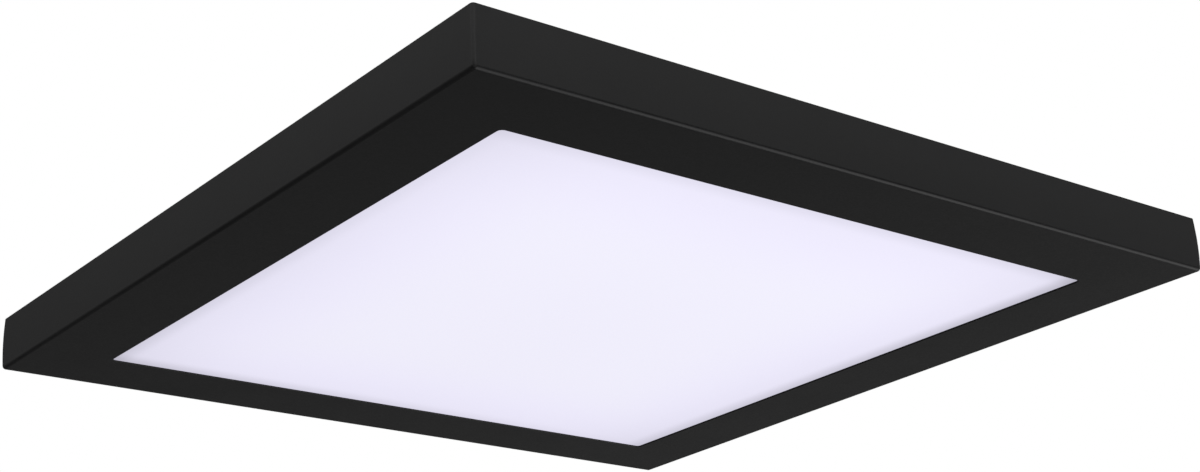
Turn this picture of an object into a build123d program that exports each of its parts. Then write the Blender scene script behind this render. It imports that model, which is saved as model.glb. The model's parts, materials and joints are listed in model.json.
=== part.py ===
from build123d import *
from math import floor
import os

os.makedirs("parts", exist_ok=True)

# Square panel light for a ceiling. Sizes are in millimetres.
# Z = 0 is the ceiling, and the light hangs below it with its lit face down.

# Frame
body_width = 305.0
body_height = 19.5
border_width = 29.7
wall = 1.8
wall_crown = 0.3
corner_radius = 1.2
front_edge_radius = 1.3
rim_edge_radius = 0.3
front_thickness = 2.0
window_radius = 1.5
window_edge_radius = 0.4
rebate_width = 5.0
rebate_depth = 0.8
rib_thickness = 1.6
rib_depth = 5.0
rib_pitch = 45.0
boss_radius = 3.2
post_leg = 9.0
post_wall = 1.5
fit = 0.3

# Optical stack, from the diffuser to the plate that closes it
diffuser_thickness = 1.5
lit_recess = 0.4
lit_gap = 0.15
lit_edge = 0.2
guide_thickness = 2.5
guide_overlap = 6.5
sheet_thickness = 0.3
foam_thickness = 0.5
foam_inset = 3.0
plate_thickness = 0.8
plate_gap = 0.5

# LED boards on aluminium angles
led_gap = 0.8
led_length = 4.0
led_width = 1.4
led_height = 0.7
led_pitch = 9.6
led_board_thickness = 1.0
led_board_clear = 0.25
rail_thickness = 1.2
rail_leg = 11.0
rail_clear = 0.2
rail_end_gap = 5.0
solder_length = 3.0

# Wires
wire_radius = 0.6
wire_sides = 8
wire_gap = 0.05
wire_bend = 3.0
wire_stand_off = 8.0
lead_spacing = 2.2
lead_elbow = 2.0
lead_exit = 2.0
lead_slope = 7.0
lead_ease = 8.0
lead_inset = 13.8
lead_swing_share = 0.48
lead_bend = 20.0
lead_hop = 17.0
lead_hop_bend = 12.0

# Screws
plate_screw_pitch = 170.0
screw_radius = 1.5
screw_head_radius = 2.8
screw_head_height = 1.7
screw_grip = 3.0
hole_clear = 0.2
thread_clear = 0.05
recess_depth = 0.9
recess_width = 0.7

# Beads pressed into the back plate
bead_length = 190.0
bead_width = 9.0
bead_height = 1.2
bead_taper = 30.0
bead_y = 81.0
bead_pitch = 38.0

# Driver case, behind the bracket
driver_y = 76.0
case_length = 122.0
case_width = 50.0
case_wall = 1.2
case_radius = 3.0
case_edge_radius = 1.0
base_height = 3.2
lip_depth = 1.4
lip_thickness = 0.8
lip_gap = 0.15
ceiling_gap = 0.8
ear_reach = 5.5
ear_radius = 5.5
ear_thickness = 1.2
ear_pitch = 32.0
pad_radius = 4.4
driver_screw_tip = 0.9

# Driver board and what stands on it
peg_radius = 2.4
peg_height = 1.2
pin_radius = 0.9
pin_head = 0.4
peg_inset = 4.5
circuit_thickness = 1.2
circuit_gap = 1.6
part_gap = 0.1
head_room = 0.7
core_length = 16.0
core_width = 14.0
core_yoke = 2.6
core_leg = 4.0
coil_overhang = 0.5
input_capacitor_length = 17.0
output_capacitor_length = 13.0
capacitor_groove = 0.3
capacitor_crimp = 2.0
choke_radius = 4.4
choke_flange = 1.0
choke_groove = 0.5
rectifier_length = 8.0
rectifier_width = 6.2
rectifier_height = 2.4
controller_length = 5.0
controller_width = 4.0
controller_height = 1.5
fuse_radius = 1.5
fuse_length = 9.0
fuse_cap = 2.2
fuse_groove = 0.2
chip_chamfer = 0.2

# Places on the driver's board, as shares of its length and width from its centre
core_place = (0.14, -0.05)
input_capacitor_place = (-0.05, 0.3)
output_capacitor_place = (0.32, 0.27)
choke_place = (-0.17, -0.23)
rectifier_place = (-0.29, 0.14)
controller_place = (-0.01, 0.0)
fuse_place = (-0.42, 0.14)

# Grommet in the plate, bush in the driver's case, and saddles on the plate
grommet_bore = 2.6
grommet_wall = 1.0
grommet_flange = 1.2
grommet_lip = 1.0
grommet_chamfer = 0.4
lead_rise = 0.5
bush_x = -38.0
bush_bore_width = 9.0
bush_wall = 0.8
bush_flange = 0.8
bush_lip = 1.0
saddle_length = 7.0
saddle_wall = 1.6
saddle_roof = 0.8

# Ceiling bracket
bracket_half = 97.0
bracket_thickness = 1.5
bracket_bend = 1.0
bracket_clear = 4.5
arm_width = 36.0
disc_radius = 38.0
disc_blend = 8.0
wire_hole_radius = 16.0
box_slot_x = 39.7
box_slot_length = 14.5
box_slot_width = 5.0
ceiling_hole_x = 74.0
ceiling_hole_y = 11.0
ceiling_hole_radius = 2.3
arm_bead_x = 70.0
arm_bead_length = 34.0
arm_bead_width = 5.0
arm_bead_depth = 0.8
tab_width = 22.0

# Spring clips on the bracket's ends, and the keepers that they hold
clip_thickness = 0.5
clip_width = 15.0
clip_gap = 0.1
clip_bend = 0.5
clip_hook = 4.2
clip_foot = 0.3
nose_reach = 2.9
nose_rise = 2.6
flank_rise = 3.3
flank_reach = 2.4
latch_gap = 0.2
keeper_gap = 1.9
keeper_thickness = 1.0
keeper_bend = 0.8
keeper_width = 28.0
keeper_foot = 14.0
keeper_drop = 1.0
keeper_window_gap = 1.5

# Ground screw in a collar of the bracket
ground_y = -27.0
ground_radius = 2.0
ground_collar = 2.4
ground_collar_wall = 1.2
ground_washer_radius = 4.2
ground_washer = 0.8
ground_head_radius = 3.4
ground_head_height = 2.2
ground_slot = 0.9

# Places that follow from the sizes above, measured outwards from the centre
half = body_width / 2
inner_half = half - wall
window_half = half - border_width
rebate_half = window_half + rebate_width
guide_half = window_half + guide_overlap
post_face = guide_half + fit
post_outer = post_face + post_wall
led_board_face = guide_half + led_gap + led_height
rail_face = led_board_face + led_board_thickness
rail_outer = rail_face + rail_thickness
leg_outer = rail_face + rail_leg
rail_half = guide_half - post_leg - rail_end_gap
boss_at = (rail_outer + leg_outer) / 2
screw_half = plate_screw_pitch / 2

# Levels, from the lit face upwards
z_front = -body_height
z_floor = z_front + front_thickness
z_diffuser = z_floor - rebate_depth
z_guide = z_diffuser + diffuser_thickness
z_sheet = z_guide + guide_thickness
z_foam = z_sheet + sheet_thickness
z_plate = z_foam + foam_thickness
z_back = z_plate + plate_thickness
z_led = z_guide + guide_thickness / 2
z_boss = z_plate - rail_thickness

# Each side of the square is the rear side turned about Z
sides = {"rear": 0, "left": 90, "front": 180, "right": 270}
ends = {"right": 1, "left": -1}


def level(z, angle=0):
    return Plane.XY.offset(z).rotated((0, 0, angle))


def section_plane(angle):
    # Across one side of the square: local x runs outwards and local y up
    outward = Vector(0, 1, 0).rotate(Axis.Z, angle)
    along = Vector(1, 0, 0).rotate(Axis.Z, angle)
    return Plane(origin=(0, 0, 0), x_dir=outward, z_dir=along)


def end_plane(end):
    # Along the bracket: local x runs outwards and local y up
    return Plane(origin=(0, 0, 0), x_dir=(end, 0, 0), z_dir=(0, -end, 0))


def upright(spot, z):
    # A vertical plane through a spot: local x runs to the right and local y up
    return Plane(origin=(*spot, z), x_dir=(1, 0, 0), z_dir=(0, -1, 0))


def discs(z, radius, spots):
    with BuildSketch(level(z)) as sketch:
        with Locations(*spots):
            Circle(radius)
    return sketch.sketch


def rounded(z, length, width, radius, y=0):
    with BuildSketch(level(z)) as sketch:
        with Locations((0, y)):
            RectangleRounded(length, width, radius)
    return sketch.sketch


def corners(x, y, cy=0):
    return [(dx * x, cy + dy * y) for dx in (-1, 1) for dy in (-1, 1)]


def save(builder, name):
    builder.part.label = name
    export_step(builder.part, f"parts/{name}.step")


plate_screw_spots = []
for angle in sides.values():
    for x in (-screw_half, screw_half):
        spot = Vector(x, boss_at).rotate(Axis.Z, angle)
        plate_screw_spots.append((spot.X, spot.Y))

# Cast frame: two crowned profiles, one along each axis, meet in a body whose four walls bulge slightly
with BuildPart() as trim_frame:
    edge = half - wall_crown
    for plane, mode in ((Plane.XZ, Mode.ADD), (Plane.YZ, Mode.INTERSECT)):
        with BuildSketch(plane):
            with BuildLine():
                Line((-edge, z_front), (edge, z_front))
                ThreePointArc((edge, z_front), (half, z_front / 2), (edge, 0))
                Line((edge, 0), (-edge, 0))
                ThreePointArc((-edge, 0), (-half, z_front / 2), (-edge, z_front))
            make_face()
        extrude(amount=body_width, both=True, mode=mode)
    uprights = trim_frame.edges().filter_by(
        lambda e: min(abs(e.center().X), abs(e.center().Y)) > inner_half
    )
    fillet(uprights, corner_radius)
    fillet(trim_frame.edges().group_by(Axis.Z)[0], front_edge_radius)
    fillet(trim_frame.edges().group_by(Axis.Z)[-1], rim_edge_radius)
    # The hollow, the diffuser's rebate and the window
    for z, reach, radius in (
        (z_floor, inner_half, corner_radius),
        (z_diffuser, rebate_half, window_radius),
        (z_front, window_half, window_radius),
    ):
        extrude(rounded(z, 2 * reach, 2 * reach, radius), amount=body_height, mode=Mode.SUBTRACT)
    window_edges = trim_frame.edges().group_by(Axis.Z)[0].filter_by(
        lambda e: max(abs(e.center().X), abs(e.center().Y)) < rebate_half
    )
    fillet(window_edges, window_edge_radius)
    # Bosses for the plate's screws, each tied to the wall by a web
    with BuildSketch(level(z_floor)):
        with Locations(*plate_screw_spots):
            Circle(boss_radius)
        with PolarLocations(0, len(sides)):
            with Locations((-screw_half, boss_at), (screw_half, boss_at)):
                web = inner_half - boss_at + wall / 2
                Rectangle(rib_thickness, web, align=(Align.CENTER, Align.MIN))
    extrude(amount=z_boss - z_floor)
    # Ribs along the wall, which carry the plate's edge
    with BuildSketch(level(z_floor)):
        with PolarLocations(0, len(sides)):
            with Locations(*[(rib_pitch * k, inner_half + wall / 2) for k in (-1, 0, 1)]):
                Rectangle(rib_thickness, rib_depth + wall / 2, align=(Align.CENTER, Align.MAX))
    extrude(amount=z_plate - z_floor)
    # Corner posts, which centre the light guide
    with BuildSketch(level(z_floor)):
        with PolarLocations(0, len(sides)):
            with Locations((post_outer, post_outer)):
                Rectangle(post_leg + post_wall, post_wall, align=(Align.MAX, Align.MAX))
                Rectangle(post_wall, post_leg + post_wall, align=(Align.MAX, Align.MAX))
    extrude(amount=z_foam - z_floor)
    thread = discs(z_boss, screw_radius + thread_clear, plate_screw_spots)
    extrude(thread, amount=-screw_grip - thread_clear, mode=Mode.SUBTRACT)
save(trim_frame, "trim_frame")

# Optical stack
# The diffuser's flange rests in the rebate, and its lit face stands forward into the window
with BuildPart() as diffuser:
    reach = rebate_half - fit
    extrude(rounded(z_diffuser, 2 * reach, 2 * reach, window_radius), amount=diffuser_thickness)
    reach = window_half - lit_gap
    z_lit = z_front + lit_recess
    extrude(rounded(z_lit, 2 * reach, 2 * reach, window_radius - lit_gap), amount=z_diffuser - z_lit)
    fillet(diffuser.edges().group_by(Axis.Z)[0], lit_edge)
save(diffuser, "diffuser")

with BuildPart() as light_guide:
    with BuildSketch(level(z_guide)):
        Rectangle(2 * guide_half, 2 * guide_half)
    extrude(amount=guide_thickness)
save(light_guide, "light_guide")

with BuildPart() as reflector_sheet:
    with BuildSketch(level(z_sheet)):
        Rectangle(2 * guide_half, 2 * guide_half)
    extrude(amount=sheet_thickness)
save(reflector_sheet, "reflector_sheet")

with BuildPart() as foam_pad:
    reach = guide_half - foam_inset
    extrude(rounded(z_foam, 2 * reach, 2 * reach, foam_inset), amount=foam_thickness)
save(foam_pad, "foam_pad")

# One aluminium angle, one board and one row of LEDs on each side
led_count = floor(2 * (rail_half - solder_length - led_length / 2) / led_pitch) + 1
led_board_height = 2 * (z_led - z_floor - led_board_clear)
for side, angle in sides.items():
    section = section_plane(angle)
    with BuildPart() as heat_rail:
        with BuildSketch(section):
            with BuildLine():
                Polyline(
                    (rail_face, z_floor + rail_clear),
                    (rail_outer, z_floor + rail_clear),
                    (rail_outer, z_boss),
                    (leg_outer, z_boss),
                    (leg_outer, z_plate),
                    (rail_face, z_plate),
                    close=True,
                )
            make_face()
        extrude(amount=rail_half, both=True)
        with BuildSketch(level(z_plate, angle)):
            with Locations((-screw_half, boss_at), (screw_half, boss_at)):
                Circle(screw_radius + hole_clear)
        extrude(amount=-rail_thickness, mode=Mode.SUBTRACT)
    save(heat_rail, f"heat_rail_{side}")

    with BuildPart() as led_board:
        with BuildSketch(section):
            with Locations((led_board_face, z_led)):
                Rectangle(led_board_thickness, led_board_height, align=(Align.MIN, Align.CENTER))
        extrude(amount=rail_half, both=True)
    save(led_board, f"led_board_{side}")

    with BuildPart() as led_chips:
        seat = section.from_local_coords((led_board_face, z_led, 0))
        with BuildSketch(Plane(origin=seat, x_dir=section.z_dir, z_dir=-section.x_dir)):
            with GridLocations(led_pitch, 0, led_count, 1):
                Rectangle(led_length, led_width)
        extrude(amount=led_height)
    save(led_chips, f"led_chips_{side}")

# Wires round three of the corners, outside the posts, from one board's end to the next board's
wire_line = led_board_face - wire_radius - wire_gap
wire_turn = rail_half + wire_bend + fit
wire_out = post_outer + wire_stand_off
solder_at = rail_half - solder_length
jumper_route = (
    (solder_at, wire_line),
    (wire_turn, wire_line),
    (wire_turn, wire_out),
    (wire_out, wire_out),
    (wire_out, wire_turn),
    (wire_line, wire_turn),
    (wire_line, solder_at),
)
with BuildPart() as jumper_leads:
    for angle in (90, 180, 270):
        with BuildLine(level(z_led, angle)) as route:
            FilletPolyline(*jumper_route, radius=wire_bend)
        with BuildSketch(Plane(origin=route.line @ 0, z_dir=route.line % 0)):
            RegularPolygon(wire_radius, wire_sides)
        sweep(path=route.line)
save(jumper_leads, "jumper_leads")

# Pressed steel plate that closes the optical stack, with raised pads under the driver's ears
ear_spots = corners(case_length / 2 + ear_reach, ear_pitch / 2, driver_y)
pad_height = base_height - ear_thickness
grommet_spot = (wire_out, wire_out)
grommet_neck = grommet_bore + grommet_wall
bead_spots = [(0, k * bead_pitch / 2 - bead_y) for k in (-1, 1)]
with BuildPart() as back_plate:
    reach = inner_half - plate_gap
    extrude(rounded(z_plate, 2 * reach, 2 * reach, corner_radius), amount=plate_thickness)
    with BuildSketch(level(z_back)):
        with Locations(*bead_spots):
            SlotOverall(bead_length, bead_width)
    extrude(amount=bead_height, taper=bead_taper)
    extrude(discs(z_back, pad_radius, ear_spots), amount=pad_height)
    with BuildSketch(level(z_plate)):
        with Locations(*bead_spots):
            SlotOverall(bead_length - 2 * plate_thickness, bead_width - 2 * plate_thickness)
    extrude(amount=bead_height, taper=bead_taper, mode=Mode.SUBTRACT)
    hollow = discs(z_plate, pad_radius - plate_thickness, ear_spots)
    extrude(hollow, amount=pad_height, mode=Mode.SUBTRACT)
    for radius, spots in (
        (screw_radius + hole_clear, plate_screw_spots),
        (screw_radius + thread_clear, ear_spots),
        (grommet_neck + thread_clear, [grommet_spot]),
    ):
        extrude(discs(z_plate, radius, spots), amount=body_height, mode=Mode.SUBTRACT)
save(back_plate, "back_plate")


def pan_screws(screws, z_seat, shank, spots):
    extrude(discs(z_seat - shank, screw_radius, spots), amount=shank)
    extrude(discs(z_seat, screw_head_radius, spots), amount=screw_head_height)
    chamfer(screws.edges().group_by(Axis.Z)[-1], screw_head_height / 2)
    with BuildSketch(level(z_seat + screw_head_height)) as cross:
        with Locations(*spots):
            Rectangle(2 * screw_radius, recess_width)
            Rectangle(recess_width, 2 * screw_radius)
    extrude(cross.sketch, amount=-recess_depth, mode=Mode.SUBTRACT)


with BuildPart() as back_plate_screws:
    plate_shank = plate_thickness + rail_thickness + screw_grip
    pan_screws(back_plate_screws, z_back, plate_shank, plate_screw_spots)
save(back_plate_screws, "back_plate_screws")

# Driver case: a tray and a cover, both with ears, held down by the same screws
z_split = z_back + base_height
z_case = -ceiling_gap
z_circuit = z_back + case_wall + peg_height
z_parts = z_circuit + circuit_thickness
inside_length = case_length - 2 * case_wall
inside_width = case_width - 2 * case_wall
inside_radius = case_radius - case_wall
lip_inset = lip_gap + lip_thickness
lip_opening = (inside_length - 2 * lip_inset, inside_width - 2 * lip_inset)
circuit_length = lip_opening[0] - circuit_gap
circuit_width = lip_opening[1] - circuit_gap
peg_spots = corners(circuit_length / 2 - peg_inset, circuit_width / 2 - peg_inset, driver_y)


def ears(z):
    # Four round lugs with straight sides back to the case's ends
    with BuildSketch(level(z)) as lugs:
        with Locations(*ear_spots):
            Circle(ear_radius)
        with Locations(*corners(case_length / 2, ear_pitch / 2, driver_y)):
            Rectangle(2 * ear_reach, 2 * ear_radius)
    extrude(lugs.sketch, amount=ear_thickness)


with BuildPart() as driver_base:
    extrude(rounded(z_back, case_length, case_width, case_radius, driver_y), amount=base_height)
    ears(z_split - ear_thickness)
    z_tray = z_back + case_wall
    tray = rounded(z_tray, inside_length, inside_width, inside_radius, driver_y)
    extrude(tray, amount=base_height, mode=Mode.SUBTRACT)
    extrude(discs(z_tray, peg_radius, peg_spots), amount=peg_height)
    extrude(discs(z_circuit, pin_radius, peg_spots), amount=circuit_thickness + pin_head)
    holes = discs(z_split, screw_radius + hole_clear, ear_spots)
    extrude(holes, amount=-ear_thickness, mode=Mode.SUBTRACT)
save(driver_base, "driver_base")

z_roof = z_case - case_wall
z_lip = z_split + lip_thickness
bush_height = z_roof - z_lip - 2 * fit
bush_plane = upright((bush_x, driver_y - case_width / 2), (z_roof + z_lip) / 2)
neck_size = (bush_bore_width + 2 * bush_wall, bush_height - 2 * bush_flange)
flange_size = (neck_size[0] + 2 * bush_flange, bush_height)
bore_size = (bush_bore_width, neck_size[1] - 2 * bush_wall)
z_lead = z_parts + wire_radius + wire_gap
with BuildPart() as driver_cover:
    extrude(rounded(z_split, case_length, case_width, case_radius, driver_y), amount=z_case - z_split)
    fillet(driver_cover.edges().group_by(Axis.Z)[-1], case_edge_radius)
    ears(z_split)
    hollow = rounded(z_split, inside_length, inside_width, inside_radius, driver_y)
    extrude(hollow, amount=z_roof - z_split, mode=Mode.SUBTRACT)
    # A lip inside the wall goes down into the tray
    for z, inset, height in ((z_split, 0, lip_thickness), (z_split - lip_depth, lip_gap, lip_depth)):
        with BuildSketch(level(z)):
            with Locations((0, driver_y)):
                RectangleRounded(inside_length - 2 * inset, inside_width - 2 * inset, inside_radius)
                RectangleRounded(*lip_opening, inside_radius - lip_inset, mode=Mode.SUBTRACT)
        extrude(amount=height)
    holes = discs(z_split, screw_radius + hole_clear, ear_spots)
    extrude(holes, amount=ear_thickness, mode=Mode.SUBTRACT)
    with BuildSketch(bush_plane):
        SlotOverall(neck_size[0] + 2 * thread_clear, neck_size[1] + 2 * thread_clear)
    extrude(amount=-case_wall, mode=Mode.SUBTRACT)
    # A notch for the two leads in the right-hand end
    notch_width = lead_spacing + 2 * (wire_radius + fit)
    notch_plane = Plane(origin=(case_length / 2, driver_y, z_split), x_dir=(0, 1, 0), z_dir=(1, 0, 0))
    with BuildSketch(notch_plane):
        notch_height = z_lead + wire_radius + fit - z_split
        Rectangle(notch_width, notch_height, align=(Align.CENTER, Align.MIN))
    extrude(amount=-case_wall - lip_inset, mode=Mode.SUBTRACT)
save(driver_cover, "driver_cover")

with BuildPart() as driver_screws:
    driver_shank = 2 * ear_thickness + plate_thickness + driver_screw_tip
    pan_screws(driver_screws, z_split + ear_thickness, driver_shank, ear_spots)
save(driver_screws, "driver_screws")

with BuildPart() as supply_bush:
    with BuildSketch(bush_plane):
        SlotOverall(*neck_size)
    extrude(amount=-case_wall)
    with BuildSketch(bush_plane):
        SlotOverall(*flange_size)
    extrude(amount=bush_lip)
    with BuildSketch(bush_plane.offset(-case_wall)):
        SlotOverall(*flange_size)
    extrude(amount=-bush_lip)
    with BuildSketch(bush_plane.offset(bush_lip)):
        SlotOverall(*bore_size)
    extrude(amount=-case_wall - 2 * bush_lip, mode=Mode.SUBTRACT)
save(supply_bush, "supply_bush")

# Driver board and its tall parts, which fill the height under the cover's roof
with BuildPart() as driver_board:
    with BuildSketch(level(z_circuit)):
        with Locations((0, driver_y)):
            Rectangle(circuit_length, circuit_width)
        with Locations(*peg_spots):
            Circle(pin_radius + part_gap, mode=Mode.SUBTRACT)
    extrude(amount=circuit_thickness)
save(driver_board, "driver_board")


def on_board(place):
    return (place[0] * circuit_length, driver_y + place[1] * circuit_width)


tall = z_roof - head_room - z_parts
core_height = tall - 2 * coil_overhang
core_window = (core_length - 2 * core_yoke - core_leg) / 2
core_spot = on_board(core_place)
with BuildPart() as transformer_core:
    with BuildSketch(level(z_parts + coil_overhang)):
        with Locations(core_spot):
            Rectangle(core_length, core_width)
            with GridLocations(core_leg + core_window, 0, 2, 1):
                Rectangle(core_window, core_width - 2 * core_yoke, mode=Mode.SUBTRACT)
    extrude(amount=core_height)
save(transformer_core, "transformer_core")

with BuildPart() as transformer_coil:
    with BuildSketch(upright(core_spot, z_parts + tall / 2)):
        RectangleRounded(core_leg + 2 * (core_window - part_gap), tall, coil_overhang)
        Rectangle(core_leg + 2 * part_gap, core_height + 2 * part_gap, mode=Mode.SUBTRACT)
    extrude(amount=core_width / 2 - core_yoke - part_gap, both=True)
save(transformer_coil, "transformer_coil")


def capacitor(name, place, length):
    # A can that lies on the board, with a crimped groove near its end
    radius = (tall - part_gap) / 2
    lie = upright(on_board(place), z_parts + part_gap + radius)
    crimp = capacitor_crimp - length / 2
    with BuildPart() as can:
        with BuildSketch(lie) as profile:
            with BuildLine() as outline:
                Polyline(
                    (-length / 2, 0),
                    (-length / 2, radius),
                    (crimp, radius),
                    (crimp + capacitor_groove, radius - capacitor_groove),
                    (crimp + 2 * capacitor_groove, radius),
                    (length / 2, radius),
                    (length / 2, 0),
                    close=True,
                )
            make_face(outline.edges())
        revolve(profile.sketch, axis=Axis(lie.origin, lie.x_dir))
    save(can, name)


capacitor("driver_input_capacitor", input_capacitor_place, input_capacitor_length)
capacitor("driver_output_capacitor", output_capacitor_place, output_capacitor_length)

with BuildPart() as driver_choke:
    choke_plane = upright(on_board(choke_place), z_parts)
    with BuildSketch(choke_plane):
        with BuildLine():
            Polyline(
                (0, 0),
                (choke_radius, 0),
                (choke_radius, choke_flange),
                (choke_radius - choke_groove, choke_flange),
                (choke_radius - choke_groove, tall - choke_flange),
                (choke_radius, tall - choke_flange),
                (choke_radius, tall),
                (0, tall),
                close=True,
            )
        make_face()
    revolve(axis=Axis(choke_plane.origin, (0, 0, 1)))
save(driver_choke, "driver_choke")


def chip(name, place, length, width, height):
    with BuildPart() as block:
        with BuildSketch(level(z_parts)) as outline:
            with Locations(on_board(place)):
                Rectangle(length, width)
        extrude(outline.sketch, amount=height)
        chamfer(block.edges().group_by(Axis.Z)[-1], chip_chamfer)
    save(block, name)


chip("driver_rectifier", rectifier_place, rectifier_length, rectifier_width, rectifier_height)
chip("driver_controller", controller_place, controller_length, controller_width, controller_height)

with BuildPart() as driver_fuse:
    fuse_plane = upright(on_board(fuse_place), z_parts + part_gap + fuse_radius)
    fuse_end = fuse_length / 2
    glass_end = fuse_end - fuse_cap
    glass_radius = fuse_radius - fuse_groove
    with BuildSketch(fuse_plane):
        with BuildLine():
            Polyline(
                (-fuse_end, 0),
                (-fuse_end, fuse_radius),
                (-glass_end, fuse_radius),
                (-glass_end, glass_radius),
                (glass_end, glass_radius),
                (glass_end, fuse_radius),
                (fuse_end, fuse_radius),
                (fuse_end, 0),
                close=True,
            )
        make_face()
    revolve(axis=Axis(fuse_plane.origin, fuse_plane.x_dir))
save(driver_fuse, "driver_fuse")

# Leads: off the driver's board, along the plate, over the grommet's lip and down to the LED boards
z_run = z_back + wire_radius + wire_gap
z_over = z_back + grommet_lip + wire_radius + lead_rise
lead_start = case_length / 2 + lead_exit + lead_slope
lead_side = wire_out - lead_inset
lead_rise_at = (wire_out - lead_hop, wire_out - lead_hop / 2)
lead_swing = lead_swing_share * (lead_rise_at[0] - driver_y)
lead_turn = (lead_side - lead_swing, driver_y + lead_swing)
lead_route = (
    (circuit_length / 2 - solder_length, driver_y, z_lead),
    (case_length / 2 + lead_exit, driver_y, z_lead),
    (lead_start, driver_y, z_run),
    (lead_turn[0], driver_y, z_run),
    (lead_side, lead_turn[1], z_run),
    (lead_side, lead_rise_at[0], z_run),
    (lead_rise_at[1], lead_rise_at[1], z_over),
    (*grommet_spot, z_over),
)
lead_bends = (lead_ease, lead_ease, lead_bend, lead_bend, lead_hop_bend, lead_hop_bend)


def beside(route, distance):
    # The route moved sideways in plan, with its corners mitred
    points = [Vector(*p) for p in route]
    steps = [(b - a) for a, b in zip(points, points[1:])]
    normals = [Vector(-s.Y, s.X).normalized() for s in steps]
    moved = []
    for k, point in enumerate(points):
        before = normals[max(k - 1, 0)]
        after = normals[min(k, len(normals) - 1)]
        moved.append(point + (before + after) * (distance / (1 + before.dot(after))))
    return moved


def lead(name, distance, tail):
    points = beside(lead_route, distance)
    drop = Vector(points[-1].X, points[-1].Y, z_led)
    route_points = [*points, drop, *tail(drop)]
    bends = [*lead_bends, lead_elbow, lead_elbow, wire_bend, wire_bend]
    with BuildPart() as wire:
        with BuildLine() as route:
            FilletPolyline(*route_points, radius=bends)
        with BuildSketch(Plane(origin=route.line @ 0, z_dir=route.line % 0)) as section:
            RegularPolygon(wire_radius, wire_sides)
        sweep(section.sketch, path=route.line)
    save(wire, name)


def to_rear_board(drop):
    return [(wire_turn, drop.Y, z_led), (wire_turn, wire_line, z_led), (solder_at, wire_line, z_led)]


def to_right_board(drop):
    return [(drop.X, wire_turn, z_led), (wire_line, wire_turn, z_led), (wire_line, solder_at, z_led)]


lead("led_lead_red", lead_spacing / 2, to_rear_board)
lead("led_lead_black", -lead_spacing / 2, to_right_board)

with BuildPart() as plate_grommet:
    ring_plane = upright(grommet_spot, z_plate)
    with BuildSketch(ring_plane):
        grommet_reach = grommet_neck + grommet_flange
        with BuildLine():
            Polyline(
                (grommet_bore, -grommet_lip),
                (grommet_reach, -grommet_lip),
                (grommet_reach, 0),
                (grommet_neck, 0),
                (grommet_neck, plate_thickness),
                (grommet_reach, plate_thickness),
                (grommet_reach, plate_thickness + grommet_lip),
                (grommet_bore, plate_thickness + grommet_lip),
                close=True,
            )
        make_face()
    revolve(axis=Axis(ring_plane.origin, (0, 0, 1)))
    for rim in (0, -1):
        chamfer(plate_grommet.edges().group_by(Axis.Z)[rim], grommet_chamfer)
save(plate_grommet, "plate_grommet")

# Saddles that hold the leads down, one on each straight stretch
saddle_x = (lead_start + lead_turn[0]) / 2
saddle_y = (lead_turn[1] + lead_rise_at[0]) / 2
saddle_planes = (
    Plane(origin=(saddle_x, driver_y, z_back), x_dir=(0, 1, 0), z_dir=(1, 0, 0)),
    Plane(origin=(lead_side, saddle_y, z_back), x_dir=(-1, 0, 0), z_dir=(0, 1, 0)),
)
with BuildPart() as lead_saddles:
    tunnel_width = lead_spacing + 2 * wire_radius + fit
    tunnel_height = 2 * wire_radius + wire_gap + fit / 2
    for plane in saddle_planes:
        with BuildSketch(plane):
            bottom = (Align.CENTER, Align.MIN)
            Rectangle(tunnel_width + 2 * saddle_wall, tunnel_height + saddle_roof, align=bottom)
            Rectangle(tunnel_width, tunnel_height, align=bottom, mode=Mode.SUBTRACT)
        extrude(amount=saddle_length / 2, both=True)
    fillet(lead_saddles.edges().group_by(Axis.Z)[-1], saddle_roof / 2)
save(lead_saddles, "lead_saddles")

# Ceiling bracket: a bent strap with a round middle over the ceiling box
tab_drop = -z_back - bracket_clear
with BuildPart() as mounting_bracket:
    with BuildSketch(Plane.XZ) as strap:
        top = (Align.CENTER, Align.MAX)
        Rectangle(2 * bracket_half, tab_drop, align=top)
        fillet(strap.vertices().group_by(Axis.Y)[-1], bracket_bend + bracket_thickness)
        with BuildSketch(mode=Mode.SUBTRACT) as inside:
            with Locations((0, -bracket_thickness)):
                Rectangle(2 * (bracket_half - bracket_thickness), tab_drop, align=top)
            fillet(inside.vertices().group_by(Axis.Y)[-1], bracket_bend)
    extrude(amount=arm_width / 2, both=True)
    extrude(discs(0, disc_radius, [(0, 0)]), amount=-bracket_thickness)
    junctions = mounting_bracket.edges().filter_by(Axis.Z).filter_by(
        lambda e: abs(e.center().X) < disc_radius
    )
    fillet(junctions, disc_blend)
    # The tabs are narrower than the arms
    tab_cut = (arm_width - tab_width) / 2
    tab_depth = bracket_thickness + bracket_bend
    with BuildSketch(level(-tab_depth)):
        with Locations(*corners(bracket_half, tab_width / 2 + tab_cut / 2)):
            Rectangle(2 * tab_depth, tab_cut)
    extrude(amount=-tab_drop, mode=Mode.SUBTRACT)
    # Stiffening beads along the arms, pressed downwards
    bead_spread = [(-arm_bead_x, 0), (arm_bead_x, 0)]
    with BuildSketch(level(-bracket_thickness)):
        with Locations(*bead_spread):
            SlotOverall(arm_bead_length + bracket_thickness, arm_bead_width + bracket_thickness)
    extrude(amount=-arm_bead_depth)
    with BuildSketch(level(0)):
        with Locations(*bead_spread):
            SlotOverall(arm_bead_length, arm_bead_width)
    extrude(amount=-arm_bead_depth, mode=Mode.SUBTRACT)
    collar = discs(-bracket_thickness, ground_radius + ground_collar_wall, [(0, ground_y)])
    extrude(collar, amount=-ground_collar)
    with BuildSketch(level(0)):
        Circle(wire_hole_radius)
        with Locations((-box_slot_x, 0), (box_slot_x, 0)):
            SlotOverall(box_slot_length, box_slot_width)
        with Locations(*corners(ceiling_hole_x, ceiling_hole_y)):
            Circle(ceiling_hole_radius)
        with Locations((0, ground_y)):
            Circle(ground_radius + thread_clear)
    extrude(amount=-bracket_thickness - ground_collar, mode=Mode.SUBTRACT)
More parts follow.
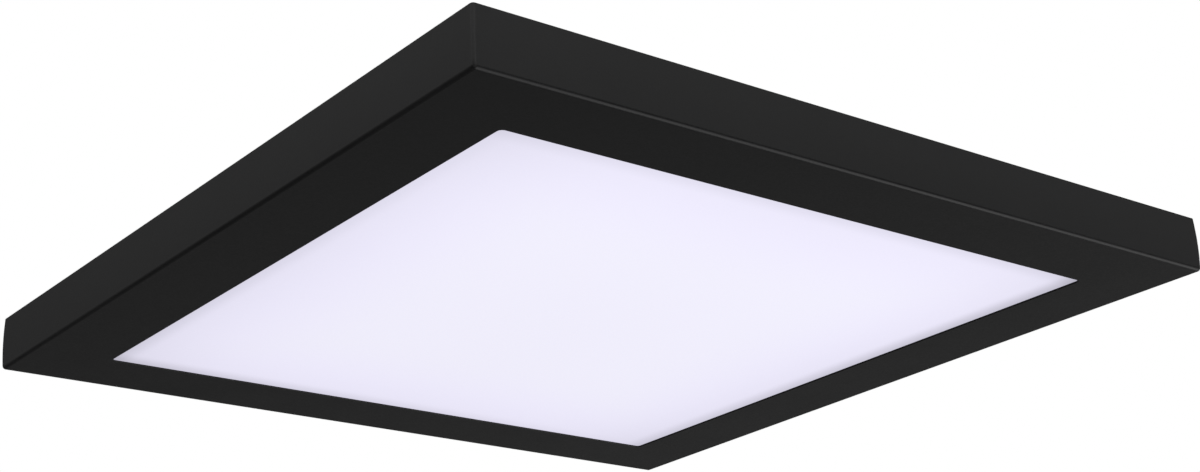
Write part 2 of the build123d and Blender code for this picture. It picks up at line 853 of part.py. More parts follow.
save(mounting_bracket, "mounting_bracket")

with BuildPart() as ground_screw:
    ground_spot = [(0, ground_y)]
    ground_shank = bracket_thickness + ground_collar
    extrude(discs(0, ground_radius, ground_spot), amount=-ground_shank)
    extrude(discs(-ground_shank, ground_washer_radius, ground_spot), amount=-ground_washer)
    with BuildSketch(level(-ground_shank - ground_washer)):
        with Locations(*ground_spot):
            RegularPolygon(ground_head_radius, side_count=6)
    extrude(amount=-ground_head_height)
    with BuildSketch(level(-ground_shank - ground_washer - ground_head_height)):
        with Locations(*ground_spot):
            Rectangle(2 * ground_head_radius, ground_slot)
    extrude(amount=ground_head_height / 2, mode=Mode.SUBTRACT)
save(ground_screw, "ground_screw")

# Spring clip: hooked round the tab's foot, with a nose that stands out through the keeper's window
hook_x = bracket_half - bracket_thickness - clip_gap
foot_x = bracket_half + clip_gap
foot_z = -tab_drop - clip_foot
nose_x = bracket_half + nose_reach
nose_z = foot_z + nose_rise
tip_x = nose_x - flank_reach
tip_z = nose_z + flank_rise
keeper_face = bracket_half + keeper_gap


def flank_height(start, finish):
    # Where the outside of a flank, one clip thickness from this line, meets the keeper's face
    along = Vector(*finish) - Vector(*start)
    outwards = Vector(along.Y, -along.X).normalized() * clip_thickness
    at = Vector(*start) + outwards
    return at.Y + (keeper_face - at.X) * along.Y / along.X


window_foot = flank_height((foot_x, foot_z), (nose_x, nose_z)) - latch_gap
window_top = flank_height((nose_x, nose_z), (tip_x, tip_z)) + latch_gap
window_width = clip_width + 2 * keeper_window_gap
for name, end in ends.items():
    with BuildPart() as clip:
        with BuildSketch(end_plane(end)):
            with BuildLine():
                FilletPolyline(
                    (hook_x, foot_z + clip_hook),
                    (hook_x, foot_z),
                    (foot_x, foot_z),
                    (nose_x, nose_z),
                    (tip_x, tip_z),
                    radius=clip_bend,
                )
                offset(amount=clip_thickness, side=Side.RIGHT)
            make_face()
        extrude(amount=clip_width / 2, both=True)
    save(clip, f"clip_{name}")

    with BuildPart() as keeper:
        with BuildSketch(end_plane(end)) as angle_bar:
            with BuildLine():
                Polyline(
                    (keeper_face, -keeper_drop),
                    (keeper_face, z_back),
                    (keeper_face + keeper_foot, z_back),
                    (keeper_face + keeper_foot, z_back + keeper_thickness),
                    (keeper_face + keeper_thickness, z_back + keeper_thickness),
                    (keeper_face + keeper_thickness, -keeper_drop),
                    close=True,
                )
            make_face()
            inner_bend = angle_bar.vertices().filter_by(
                lambda v: abs(v.X - keeper_face - keeper_thickness) < fit
                and abs(v.Y - z_back - keeper_thickness) < fit
            )
            outer_bend = angle_bar.vertices().filter_by(
                lambda v: abs(v.X - keeper_face) < fit and abs(v.Y - z_back) < fit
            )
            fillet(inner_bend, keeper_bend)
            fillet(outer_bend, keeper_bend + keeper_thickness)
        extrude(amount=keeper_width / 2, both=True)
        face = Plane(origin=(end * keeper_face, 0, 0), x_dir=(0, end, 0), z_dir=(end, 0, 0))
        with BuildSketch(face):
            with Locations((0, (window_top + window_foot) / 2)):
                Rectangle(window_width, window_top - window_foot)
        extrude(amount=keeper_thickness, mode=Mode.SUBTRACT)
    save(keeper, f"keeper_{name}")
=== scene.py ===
import json
import math
import bmesh
import bpy
from mathutils import Matrix, Vector


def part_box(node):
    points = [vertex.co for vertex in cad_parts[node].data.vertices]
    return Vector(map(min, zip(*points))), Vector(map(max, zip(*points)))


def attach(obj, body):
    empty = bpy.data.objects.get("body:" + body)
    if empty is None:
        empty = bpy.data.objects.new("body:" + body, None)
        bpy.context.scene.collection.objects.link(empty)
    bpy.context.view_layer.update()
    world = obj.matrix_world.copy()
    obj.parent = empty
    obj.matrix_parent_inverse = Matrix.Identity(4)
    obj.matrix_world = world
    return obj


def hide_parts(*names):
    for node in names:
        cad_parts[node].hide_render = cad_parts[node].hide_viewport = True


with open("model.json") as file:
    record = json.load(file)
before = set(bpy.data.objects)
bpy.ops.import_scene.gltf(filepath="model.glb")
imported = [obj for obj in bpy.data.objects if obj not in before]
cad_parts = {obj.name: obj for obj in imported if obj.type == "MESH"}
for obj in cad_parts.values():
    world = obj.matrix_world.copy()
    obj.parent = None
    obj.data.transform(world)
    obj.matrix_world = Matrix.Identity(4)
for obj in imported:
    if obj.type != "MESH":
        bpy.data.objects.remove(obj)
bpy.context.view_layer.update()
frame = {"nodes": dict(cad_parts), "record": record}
nodes = frame["nodes"]
bodies = frame["record"]["behaviour"]["bodies"]
bodyOf = {node: body for body, members in bodies.items() for node in members}
scene = bpy.context.scene

usual, whole = (0.3, 0.7), (0.25, 0.75)  # most of a noise lies in the first range, nearly all in the second
cloudy = 3.0  # detail of a wide noise


class Wire:  # one socket of a node tree, with the arithmetic that adds Math nodes
    def __init__(self, sheet, socket):
        self.sheet = sheet
        self.socket = socket

    def calc(self, operation, *values):
        return self.sheet.add("ShaderNodeMath", {"operation": operation}, dict(enumerate(values)))

    def __add__(self, other):
        return self.calc("ADD", self, other)

    def __radd__(self, other):
        return self.calc("ADD", other, self)

    def __sub__(self, other):
        return self.calc("SUBTRACT", self, other)

    def __rsub__(self, other):
        return self.calc("SUBTRACT", other, self)

    def __mul__(self, other):
        return self.calc("MULTIPLY", self, other)

    def __rmul__(self, other):
        return self.calc("MULTIPLY", other, self)

    def __truediv__(self, other):
        return self.calc("DIVIDE", self, other)

    def __rtruediv__(self, other):
        return self.calc("DIVIDE", other, self)

    def __pow__(self, other):
        return self.calc("POWER", self, other)

    def __rpow__(self, other):
        return self.calc("POWER", other, self)

    def __abs__(self):
        return self.calc("ABSOLUTE", self)

    def most(self, other):
        return self.calc("MAXIMUM", self, other)

    def ramp(self, start, finish, low=0.0, high=1.0):  # smooth step between two values
        sockets = {"Value": self, "From Min": start, "From Max": finish, "To Min": low, "To Max": high}
        return self.sheet.add("ShaderNodeMapRange", {"interpolation_type": "SMOOTHSTEP"}, sockets)


class Sheet:  # a node tree and the one method that fills it
    def __init__(self, tree):
        self.tree = tree
        tree.nodes.clear()

    def add(self, kind, settings=None, sockets=None, out=0):
        node = self.tree.nodes.new(kind)
        for key, value in (settings or {}).items():
            setattr(node, key, value)
        for key, value in (sockets or {}).items():
            for item in value if isinstance(value, list) else [value]:  # a list is several links to one socket
                if isinstance(item, Wire):
                    self.tree.links.new(item.socket, node.inputs[key])
                else:
                    node.inputs[key].default_value = item
        return Wire(self, node.outputs[out]) if node.outputs else None

    def place(self, stretch=None):  # object coordinates, in metres
        spot = self.add("ShaderNodeTexCoord", out="Object")
        return self.add("ShaderNodeMapping", sockets={"Vector": spot, "Scale": stretch}) if stretch else spot

    def axes(self, vector):
        node = self.add("ShaderNodeSeparateXYZ", sockets={0: vector}).socket.node
        return [Wire(self, output) for output in node.outputs]

    def vector(self, operation, first, second, out="Vector"):
        return self.add("ShaderNodeVectorMath", {"operation": operation}, {0: first, 1: second}, out)

    def noise(self, spot, size, detail=2.0):  # size is that of one blotch, in metres
        return self.add("ShaderNodeTexNoise", sockets={"Vector": spot, "Scale": 1 / size, "Detail": detail})

    def tint(self, amount, dark, light):  # a Mix node has its colours on sockets 6 and 7 and on output 2
        dark, light = [colour if isinstance(colour, Wire) else (*colour, 1) for colour in (dark, light)]
        return self.add("ShaderNodeMix", {"data_type": "RGBA"}, {0: amount, 6: dark, 7: light}, out=2)

    def dents(self, height, depth):
        return self.add("ShaderNodeBump", sockets={"Height": height, "Distance": depth})

    def surface(self, **sockets):
        named = {key.replace("_", " "): value for key, value in sockets.items()}
        shader = self.add("ShaderNodeBsdfPrincipled", sockets=named)
        self.add("ShaderNodeOutputMaterial", sockets={"Surface": shader})


def blend(shares, wires):  # a weighted sum
    first, *rest = [wire * share for share, wire in zip(shares, wires)]
    return sum(rest, first)


def newFinish(name):
    material = bpy.data.materials.new(name)
    material.use_nodes = True
    return material, Sheet(material.node_tree)


def mottled(name, look):  # the plain finish of small and hidden pieces: blotches, grain and a fine bump
    shares = (0.6, 0.4)
    material, sheet = newFinish(name)
    spot = sheet.place(look.get("stretch"))
    blotch = sheet.noise(spot, look["blotch"], cloudy)
    grain = sheet.noise(spot, look["grain"])
    mixed = blend(shares, (blotch, grain))
    sheet.surface(
        Base_Color=sheet.tint(mixed.ramp(*usual), look["dark"], look["light"]),
        Roughness=mixed.ramp(*whole, *look["rough"]),
        Metallic=look.get("metal", 0.0),
        Specular_IOR_Level=look.get("gloss", 0.5),
        Normal=sheet.dents(grain, look["depth"]),
    )
    return material


def settle(piece, name):  # what the modifiers make becomes the piece's own mesh
    made = bpy.data.meshes.new_from_object(piece.evaluated_get(bpy.context.evaluated_depsgraph_get()))
    piece.modifiers.clear()
    piece.data = made
    made.name = name


def smooth(mesh, sharp):
    mesh.shade_smooth()
    mesh.set_sharp_from_angle(angle=math.radians(sharp))


def cover(mesh, finish):
    mesh.materials.clear()
    mesh.materials.append(finish)


def dress(piece, finish, node):
    cover(piece.data, finish)
    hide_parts(node)
    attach(piece, bodyOf[node])


def skin(node, finish, name, sharp=30):  # a welded, smooth-shaded copy that stands for a CAD node
    weld, flat = 1e-5, math.radians(0.2)
    mesh = nodes[node].data.copy()
    mesh.name = name
    shape = bmesh.new()
    shape.from_mesh(mesh)
    bmesh.ops.remove_doubles(shape, verts=shape.verts, dist=weld)
    bmesh.ops.dissolve_degenerate(shape, edges=shape.edges, dist=weld / 10)
    bmesh.ops.dissolve_limit(shape, angle_limit=flat, verts=shape.verts, edges=shape.edges)
    shape.to_mesh(mesh)
    shape.free()
    smooth(mesh, sharp)
    piece = bpy.data.objects.new(name, mesh)
    scene.collection.objects.link(piece)
    flatten = piece.modifiers.new("flatten", "WEIGHTED_NORMAL")  # wide faces stay flat beside their rounds
    flatten.keep_sharp = True
    flatten.weight = 100
    settle(piece, name)
    dress(piece, finish, node)


def paint(finish, *names):  # a CAD node that stays takes a finish
    for node in names:
        cover(nodes[node].data, finish)


# Frame: satin black powder coat, with a fine grain over a slow ripple
coat = {"dark": (0.0045, 0.0045, 0.0047), "light": (0.0075, 0.0075, 0.0077), "gloss": 0.22, "rough": (0.32, 0.42),
        "grain": 0.0006, "ripple": 0.004, "cloud": 0.05, "depth": 0.00002,
        "toneShares": (0.5, 0.5), "roughShares": (0.6, 0.4), "bumpShares": (0.5, 1.0)}
blackCoat, sheet = newFinish("blackCoat")
spot = sheet.place()
grain = sheet.noise(spot, coat["grain"])
ripple = sheet.noise(spot, coat["ripple"])
cloud = sheet.noise(spot, coat["cloud"], cloudy)
tone = blend(coat["toneShares"], (grain, cloud))
sheet.surface(
    Base_Color=sheet.tint(tone.ramp(*usual), coat["dark"], coat["light"]),
    Roughness=blend(coat["roughShares"], (grain, cloud)).ramp(*usual, *coat["rough"]),
    Specular_IOR_Level=coat["gloss"],
    Normal=sheet.dents(blend(coat["bumpShares"], (grain, ripple)), coat["depth"]),
)
skin("trim_frame", blackCoat, "trimFrame", sharp=28)
print("frame coated")

# Diffuser: lit opal sheet, a little dimmer towards its corners and in a soft band along the border
glow = {"tint": (0.921, 0.904, 1.034), "rimTint": (0.921, 0.892, 1.063), "rim": (0.45, 0.90), "flange": 0.0047,
        "level": 0.889, "rightward": 0.003, "rearward": -0.024, "swell": (0.040, 0.026), "fade": (0.140, 0.085),
        "bands": {"right": (0.010, 0.67, 0.82), "left": (0.008, 0.97, 0.83),  # width, then the level at each end
                  "rear": (0.010, 0.76, 0.99), "front": (0.009, 0.92, 0.87)},
        "dark": (0.06, 0.06, 0.062), "light": (0.072, 0.072, 0.0744), "gloss": 0.2, "rough": (0.50, 0.62),
        "frost": 0.0009, "depth": 0.00002}
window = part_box("diffuser")[1].x - glow["flange"]
opalSheet, sheet = newFinish("opalSheet")
spot = sheet.place()
x, y, _ = sheet.axes(spot)
across = x / window
along = y / window
light = glow["level"] + glow["rightward"] * across + glow["rearward"] * along
for way, swell, fade in zip((across, along), glow["swell"], glow["fade"]):
    light = light + way * way * (swell - fade * way * way)
sides = {"right": (window - x, along), "left": (window + x, along),  # distance from the side, and the way along it
         "rear": (window - y, across), "front": (window + y, across)}
for side, (inset, way) in sides.items():
    width, first, last = glow["bands"][side]
    middle, lean = (first + last) / 2, (last - first) / 2
    dim = (1 - inset.ramp(0.0, width)) * (1 - middle - lean * way)
    light = light * (1 - dim)
rim = abs(across).most(abs(along)).ramp(*glow["rim"])
colour = sheet.tint(rim, glow["tint"], glow["rimTint"])
frost = sheet.noise(spot, glow["frost"])
sheet.surface(
    Base_Color=sheet.tint(frost, glow["dark"], glow["light"]),
    Roughness=frost.ramp(*usual, *glow["rough"]),
    Specular_IOR_Level=glow["gloss"],
    Emission_Color=sheet.add("ShaderNodeVectorMath", {"operation": "SCALE"}, {0: colour, "Scale": light}),
    Emission_Strength=1.0,
    Normal=sheet.dents(frost, glow["depth"]),
)
paint(opalSheet, "diffuser")
print("diffuser lit")


# Zinc-coated sheet: crystals a few millimetres wide, rolling marks along one way, dull and bright patches
def zincFinish(name, look, welds=()):
    material, sheet = newFinish(name)
    spot = sheet.place()
    warp = sheet.noise(spot, look["warp"])
    bent = sheet.vector("ADD", spot, warp * look["bend"])
    cells = sheet.add("ShaderNodeTexVoronoi", sockets={"Vector": bent, "Scale": 1 / look["crystal"]}, out="Color")
    shade, gleam, turn = sheet.axes(cells)
    spun = sheet.add("ShaderNodeVectorRotate", {"rotation_type": "Z_AXIS"},
                     {"Vector": spot, "Angle": turn * math.tau})
    spun = sheet.add("ShaderNodeMapping", sockets={"Vector": spun, "Scale": look["feathered"]})
    feather = sheet.noise(spun, look["feather"], cloudy)  # streaks, turned another way in each crystal
    marks = sheet.noise(sheet.place(look["rolled"]), look["mark"], cloudy)
    cloud = sheet.noise(spot, look["cloud"], cloudy)
    tone = blend(look["toneShares"], (shade, feather, marks, cloud))
    colour = sheet.tint(tone.ramp(*look["contrast"]), look["dark"], look["light"])
    bump = blend(look["bumpShares"], (shade, marks, feather))
    for weld in welds:  # a dimple pressed by the welding tip, with a ring of heat tint round it
        away = sheet.vector("DISTANCE", spot, weld, out="Value") + (warp - 0.5) * look["wander"]
        heat = away.ramp(*look["heatStart"]) * away.ramp(*look["heatEnd"])
        colour = sheet.tint(heat, colour, look["heat"])
        bump = bump - away.ramp(*look["dimple"])
    sheet.surface(
        Base_Color=colour,
        Metallic=1.0,
        Roughness=blend(look["roughShares"], (gleam, feather, cloud)).ramp(*whole, *look["rough"]),
        Normal=sheet.dents(bump, look["depth"]),
    )
    return material


zinc = {"dark": (0.44, 0.45, 0.46), "light": (0.61, 0.62, 0.635), "contrast": (0.28, 0.72), "rough": (0.34, 0.46),
        "crystal": 0.006, "warp": 0.006, "bend": 0.004, "feather": 0.0007, "feathered": (0.12, 1, 1),
        "mark": 0.0012, "rolled": (0.03, 1, 1), "cloud": 0.06, "depth": 0.00001,
        "toneShares": (0.25, 0.25, 0.15, 0.35), "bumpShares": (0.3, 0.6, 0.8), "roughShares": (0.4, 0.3, 0.3)}
skin("back_plate", zincFinish("zincPlate", zinc), "backPlate", sharp=28)
keeper = {**zinc, "rolled": (1, 0.03, 1), "heat": (0.20, 0.15, 0.10), "wander": 0.0012,
          "heatStart": (0.0014, 0.0022, 0.15, 0.7), "heatEnd": (0.0024, 0.0046, 1.0, 0.0),  # radii, then strengths
          "dimple": (0.0015, 0.0021, 6.0, 0.0), "weldOut": 0.0015, "weldAside": 0.008, "weldUp": 0.001}
for side, end in (("right", 1), ("left", -1)):
    name = "keeper_" + side
    low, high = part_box(name)
    weldX = (low.x + high.x) / 2 + end * keeper["weldOut"]
    welds = [(weldX, way * keeper["weldAside"], low.z + keeper["weldUp"]) for way in (-1, 1)]
    skin(name, zincFinish("keeperZinc_" + side, keeper, welds), name)
print("back plate and keepers coated")

# Bracket: bright plated strap, brushed along its length
strap = {"dark": (0.50, 0.505, 0.52), "light": (0.74, 0.745, 0.755), "contrast": (0.3, 0.75), "rough": (0.24, 0.40),
         "stroke": 0.0006, "strokeDetail": 4.0, "brushed": (0.015, 1, 0.015), "cloud": 0.03, "depth": 0.000012,
         "toneShares": (0.5, 0.5), "roughShares": (0.7, 0.3)}
strapSteel, sheet = newFinish("strapSteel")
spot = sheet.place()
stroke = sheet.noise(sheet.place(strap["brushed"]), strap["stroke"], strap["strokeDetail"])
cloud = sheet.noise(spot, strap["cloud"], cloudy)
tone = blend(strap["toneShares"], (stroke, cloud))
sheet.surface(
    Base_Color=sheet.tint(tone.ramp(*strap["contrast"]), strap["dark"], strap["light"]),
    Metallic=1.0,
    Roughness=blend(strap["roughShares"], (stroke, cloud)).ramp(*whole, *strap["rough"]),
    Normal=sheet.dents(stroke, strap["depth"]),
)
skin("mounting_bracket", strapSteel, "mountingBracket", sharp=28)

spring = {"dark": (0.16, 0.165, 0.19), "light": (0.30, 0.305, 0.33), "blotch": 0.004, "grain": 0.0004,
          "stretch": (1, 1, 0.1), "rough": (0.22, 0.38), "metal": 1.0, "depth": 0.000006}
springSteel = mottled("springSteel", spring)
for name in ("clip_right", "clip_left"):
    skin(name, springSteel, name, sharp=40)

ground = {"dark": (0.012, 0.10, 0.03), "light": (0.03, 0.19, 0.06), "blotch": 0.002, "grain": 0.0003,
          "rough": (0.30, 0.45), "metal": 0.6, "depth": 0.00001}
skin("ground_screw", mottled("greenScrew", ground), "groundScrew")
print("bracket, clips and ground screw finished")

# Driver: moulded case with a spark-eroded grain, rubber where wires pass, nylon saddles
case = {"dark": (0.60, 0.60, 0.58), "light": (0.68, 0.68, 0.66), "blotch": 0.02, "grain": 0.0005,
        "rough": (0.46, 0.60), "gloss": 0.4, "depth": 0.00003}
casePlastic = mottled("casePlastic", case)
skin("driver_cover", casePlastic, "driverCover")
skin("driver_base", casePlastic, "driverBase")
rubber = {"dark": (0.012, 0.012, 0.012), "light": (0.028, 0.028, 0.028), "blotch": 0.003, "grain": 0.0003,
          "rough": (0.62, 0.82), "gloss": 0.35, "depth": 0.00002}
blackRubber = mottled("blackRubber", rubber)
skin("supply_bush", blackRubber, "supplyBush")
skin("plate_grommet", blackRubber, "plateGrommet")
nylon = {"dark": (0.62, 0.61, 0.56), "light": (0.72, 0.71, 0.67), "blotch": 0.004, "grain": 0.0005,
         "rough": (0.30, 0.45), "depth": 0.00001}
skin("lead_saddles", mottled("nylon", nylon), "leadSaddles")
print("driver case finished")

# Leads: thin sleeves of soft plastic
sleeve = {"blotch": 0.006, "grain": 0.0004, "rough": (0.34, 0.48), "depth": 0.000008}
leadLooks = {  # piece, dark, light
    "led_lead_red": ("ledLeadRed", (0.30, 0.008, 0.008), (0.45, 0.014, 0.012)),
    "led_lead_black": ("ledLeadBlack", (0.010, 0.010, 0.011), (0.022, 0.022, 0.023)),
    "jumper_leads": ("jumperLeads", (0.68, 0.68, 0.66), (0.80, 0.80, 0.78)),
}
for node, (name, dark, light) in leadLooks.items():
    skin(node, mottled(name, {**sleeve, "dark": dark, "light": light}), name, sharp=60)
print("leads finished")

# Pieces inside the frame and the driver, which no view shows, keep their solids
fourSides = ("rear", "left", "front", "right")
filling = {"blotch": 0.01, "grain": 0.0006, "depth": 0.00001}
inside = {  # nodes, dark, light, roughness, metal
    "clearAcrylic": (["light_guide"], (0.80, 0.84, 0.85), (0.86, 0.90, 0.90), (0.05, 0.12), 0.0),
    "whiteFilm": (["reflector_sheet"], (0.84, 0.84, 0.84), (0.90, 0.90, 0.90), (0.35, 0.5), 0.0),
    "greyFoam": (["foam_pad"], (0.08, 0.08, 0.085), (0.13, 0.13, 0.135), (0.85, 0.95), 0.0),
    "bareAluminium": (["heat_rail_" + side for side in fourSides],
                      (0.62, 0.63, 0.64), (0.78, 0.79, 0.80), (0.25, 0.42), 1.0),
    "whiteBoard": (["led_board_" + side for side in fourSides],
                   (0.78, 0.78, 0.76), (0.86, 0.86, 0.84), (0.3, 0.45), 0.0),
    "ledPhosphor": (["led_chips_" + side for side in fourSides],
                    (0.80, 0.62, 0.10), (0.90, 0.76, 0.22), (0.15, 0.3), 0.0),
    "greenBoard": (["driver_board"], (0.012, 0.09, 0.035), (0.022, 0.15, 0.06), (0.3, 0.45), 0.0),
    "ferrite": (["transformer_core", "driver_choke"],
                (0.02, 0.02, 0.022), (0.05, 0.05, 0.052), (0.5, 0.7), 0.1),
    "coilTape": (["transformer_coil"], (0.60, 0.42, 0.03), (0.74, 0.56, 0.07), (0.2, 0.35), 0.0),
    "canSleeve": (["driver_input_capacitor", "driver_output_capacitor"],
                  (0.008, 0.008, 0.014), (0.02, 0.02, 0.03), (0.2, 0.3), 0.0),
    "chipBlack": (["driver_rectifier", "driver_controller"],
                  (0.01, 0.01, 0.01), (0.025, 0.025, 0.025), (0.5, 0.65), 0.0),
    "fuseGlass": (["driver_fuse"], (0.55, 0.57, 0.57), (0.70, 0.72, 0.72), (0.05, 0.15), 0.2),
}
for name, (members, dark, light, rough, metal) in inside.items():
    look = {**filling, "dark": dark, "light": light, "rough": rough, "metal": metal}
    paint(mottled(name, look), *members)
print("inner pieces finished")

# Pan-head screws: one tree makes a screw and sets a copy of it on every seat
screw = {"headRadius": 0.0028, "headHeight": 0.0017, "shankRadius": 0.0015, "recessReach": 0.0015,
         "recessWidth": 0.0007, "recessDepth": 0.0009}
screwMesh = {"rings": 12, "headSides": 32, "shankSides": 20, "domeFall": 0.8, "domePower": 3, "sunk": 0.0004,
             "seed": 7, "sharp": 35}
screwLook = {"dark": (0.40, 0.405, 0.42), "light": (0.62, 0.625, 0.64), "blotch": 0.002, "grain": 0.0002,
             "rough": (0.20, 0.34), "metal": 1.0, "depth": 0.000004}


def screwTree():
    tree = bpy.data.node_groups.new("panScrews", "GeometryNodeTree")
    inputs = {"seats": "Geometry", **{name: "Float" for name in (*screw, "shankLength")}, "finish": "Material"}
    for name, kind in inputs.items():
        tree.interface.new_socket(name=name, in_out="INPUT", socket_type="NodeSocket" + kind)
    tree.interface.new_socket(name="screws", in_out="OUTPUT", socket_type="NodeSocketGeometry")
    sheet = Sheet(tree)
    entry = sheet.add("NodeGroupInput").socket.node
    size = {output.name: Wire(sheet, output) for output in entry.outputs if output.name}
    # head: a line up its axis, swept by a circle whose radius follows the dome
    top = sheet.add("ShaderNodeCombineXYZ", sockets={"Z": size["headHeight"]})
    axis = sheet.add("GeometryNodeCurvePrimitiveLine", sockets={"Start": (0, 0, 0), "End": top})
    axis = sheet.add("GeometryNodeResampleCurve", sockets={"Curve": axis, "Count": screwMesh["rings"]})
    climb = sheet.add("GeometryNodeSplineParameter")
    dome = size["headRadius"] * (1 - screwMesh["domeFall"] * climb ** screwMesh["domePower"]) ** 0.5
    ring = sheet.add("GeometryNodeCurvePrimitiveCircle",
                     sockets={"Resolution": screwMesh["headSides"], "Radius": 1.0})
    head = sheet.add("GeometryNodeCurveToMesh",
                     sockets={"Curve": axis, "Profile Curve": ring, "Scale": dome, "Fill Caps": True})
    # shank: it reaches a little into the head
    shank = sheet.add("GeometryNodeMeshCylinder", sockets={
        "Vertices": screwMesh["shankSides"], "Radius": size["shankRadius"],
        "Depth": size["shankLength"] + screwMesh["sunk"]})
    drop = sheet.add("ShaderNodeCombineXYZ", sockets={"Z": screwMesh["sunk"] / 2 - size["shankLength"] * 0.5})
    shank = sheet.add("GeometryNodeTransform", sockets={"Geometry": shank, "Translation": drop})
    joined = sheet.add("GeometryNodeMeshBoolean", {"operation": "UNION"}, {"Mesh 2": [head, shank]})
    # cross recess: two slabs cut from the top
    slabSize = sheet.add("ShaderNodeCombineXYZ", sockets={
        "X": size["recessReach"] * 2, "Y": size["recessWidth"], "Z": size["recessDepth"] * 2})
    slab = sheet.add("GeometryNodeMeshCube", sockets={"Size": slabSize})
    slabs = [sheet.add("GeometryNodeTransform",
                       sockets={"Geometry": slab, "Translation": top, "Rotation": (0, 0, turn)})
             for turn in (0, math.pi / 2)]
    cut = sheet.add("GeometryNodeMeshBoolean", {"operation": "DIFFERENCE"}, {"Mesh 1": joined, "Mesh 2": slabs})
    spin = sheet.add("FunctionNodeRandomValue", {"data_type": "FLOAT"},
                     {"Min": 0.0, "Max": math.pi, "Seed": screwMesh["seed"]}, out=1)
    spin = sheet.add("ShaderNodeCombineXYZ", sockets={"Z": spin})
    placed = sheet.add("GeometryNodeInstanceOnPoints",
                       sockets={"Points": size["seats"], "Instance": cut, "Rotation": spin})
    placed = sheet.add("GeometryNodeRealizeInstances", sockets={"Geometry": placed})
    placed = sheet.add("GeometryNodeSetMaterial", sockets={"Geometry": placed, "Material": size["finish"]})
    sheet.add("NodeGroupOutput", sockets={"screws": placed})
    return tree


screwSteel = mottled("screwSteel", screwLook)
panScrews = screwTree()


def setScrews(node, name, seats):
    low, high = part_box(node)
    seatZ = high.z - screw["headHeight"]
    values = {**screw, "shankLength": seatZ - low.z, "finish": screwSteel}
    mesh = bpy.data.meshes.new(name)
    mesh.from_pydata([(x, y, seatZ) for x, y in seats], [], [])
    piece = bpy.data.objects.new(name, mesh)
    scene.collection.objects.link(piece)
    maker = piece.modifiers.new("screws", "NODES")
    maker.node_group = panScrews
    for item in panScrews.interface.items_tree:
        if item.name in values:
            maker[item.identifier] = values[item.name]
    settle(piece, name)
    smooth(piece.data, screwMesh["sharp"])
    dress(piece, screwSteel, node)


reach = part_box("back_plate_screws")[1].x - screw["headRadius"]
pitch = 0.085  # half the distance between the two screws of a side
seats = [(a, b) for a in (-pitch, pitch) for b in (-reach, reach)]
setScrews("back_plate_screws", "backPlateScrews", seats + [(b, a) for a, b in seats])
low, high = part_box("driver_screws")
inset = screw["headRadius"]
seats = [(x, y) for x in (low.x + inset, high.x - inset) for y in (low.y + inset, high.y - inset)]
setScrews("driver_screws", "driverScrews", seats)
print("screws set")

# Studio: white air behind, soft light all round, and panels where the frame mirrors more or less of it
studio = {
    "level": 0.22, "up": 0.67, "upLean": (-0.90, -0.93), "upLeast": 0.06, "upFrom": (0.05, 0.35),
    "down": 0.165, "downLean": (0.085, -0.085), "downFrom": (-0.2, -0.02), "core": 0.4,
    "panels": [  # direction, half angle in degrees, extra light
        ((0.58, -0.30, -0.75), 34, 2.2),
        ((-0.64, -0.64, -0.42), 40, 0.4),
        ((0.58, -0.81, -0.05), 16, -0.25),
        ((0.0, -1.0, -0.05), 26, 0.85),
        ((1.0, 0.0, -0.05), 30, 0.95),
        ((0.25, 0.35, 0.90), 46, 0.50),
        ((-0.73, -0.51, 0.45), 40, -0.45),
    ],
}
world = bpy.data.worlds.new("studioAir")
scene.world = world
world.use_nodes = True
sheet = Sheet(world.node_tree)
toward = sheet.add("ShaderNodeTexCoord", out="Generated")
x, y, z = sheet.axes(toward)
overhead = (studio["up"] + studio["upLean"][0] * x + studio["upLean"][1] * y).most(studio["upLeast"])
beneath = studio["down"] + studio["downLean"][0] * x + studio["downLean"][1] * y
air = studio["level"] + z.ramp(*studio["upFrom"]) * (overhead - studio["level"])
air = air + z.ramp(*studio["downFrom"], 1.0, 0.0) * (beneath - studio["level"])
for direction, spread, extra in studio["panels"]:
    facing = sheet.vector("DOT_PRODUCT", toward, Vector(direction).normalized(), out="Value")
    edge, core = [math.cos(math.radians(angle)) for angle in (spread, spread * studio["core"])]
    air = air + facing.ramp(edge, core, 0.0, extra)
seen = sheet.add("ShaderNodeLightPath", out="Is Camera Ray")
air = air * (1 - seen) + seen
shine = sheet.add("ShaderNodeBackground", sockets={"Color": air, "Strength": 1.0})
sheet.add("ShaderNodeOutputWorld", sockets={"Surface": shine})

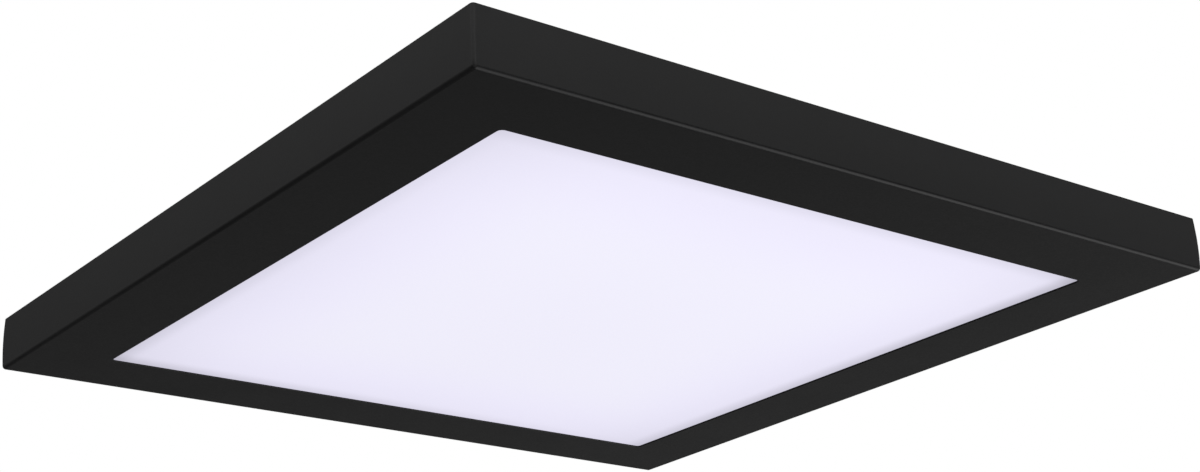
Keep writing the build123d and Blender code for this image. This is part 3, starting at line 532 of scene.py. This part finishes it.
floorLook = {"dark": (0.90, 0.90, 0.90), "light": (0.915, 0.915, 0.915), "blotch": 0.8, "grain": 0.01,
             "rough": (0.7, 0.8), "gloss": 0.1, "depth": 0.0001}
floorSize, floorZ = 60.0, -2.4
corners = [(a * floorSize, b * floorSize, floorZ) for a, b in ((-1, -1), (1, -1), (1, 1), (-1, 1))]
floorMesh = bpy.data.meshes.new("floor")
floorMesh.from_pydata(corners, [], [(0, 1, 2, 3)])
floor = bpy.data.objects.new("floor", floorMesh)
scene.collection.objects.link(floor)
floorMesh.materials.append(mottled("paleFloor", floorLook))
floor.visible_glossy = False

lamps = {"keyPanel": ((-0.9, -1.1, 1.5), 1.4, 8.0), "fillPanel": ((1.4, 0.9, 1.1), 1.2, 3.0)}  # place, size, power
for name, (place, size, power) in lamps.items():
    lamp = bpy.data.lights.new(name, "AREA")
    lamp.shape = "DISK"
    lamp.size = size
    lamp.energy = power
    holder = bpy.data.objects.new(name, lamp)
    holder.location = place
    holder.rotation_mode = "QUATERNION"
    holder.rotation_quaternion = (-Vector(place)).to_track_quat("-Z", "Y")
    holder.visible_camera = False
    holder.visible_glossy = False  # mirrored light comes from the air alone
    scene.collection.objects.link(holder)
scene.view_settings.view_transform = "Standard"
print("studio lit")

# Camera: fitted to the straight edges of the frame and the window, image 1200 by 472
shot = {"place": (-0.44753, -0.57239, -0.26315), "right": (0.79115, -0.61009, -0.04304),
        "down": (0.18522, 0.30604, -0.93382), "ahead": (0.58289, 0.73083, 0.35514),
        "lens": 64.652, "sensor": 36.0, "clip": (0.01, 200.0)}
camera = bpy.data.cameras.new("shot")
camera.sensor_width = shot["sensor"]
camera.sensor_fit = "HORIZONTAL"
camera.lens = shot["lens"]
camera.clip_start, camera.clip_end = shot["clip"]
viewer = bpy.data.objects.new("shot", camera)
turn = Matrix((shot["right"], -Vector(shot["down"]), -Vector(shot["ahead"]))).transposed()
viewer.matrix_world = Matrix.Translation(shot["place"]) @ turn.to_4x4()
scene.collection.objects.link(viewer)
scene.camera = viewer
print("camera set")
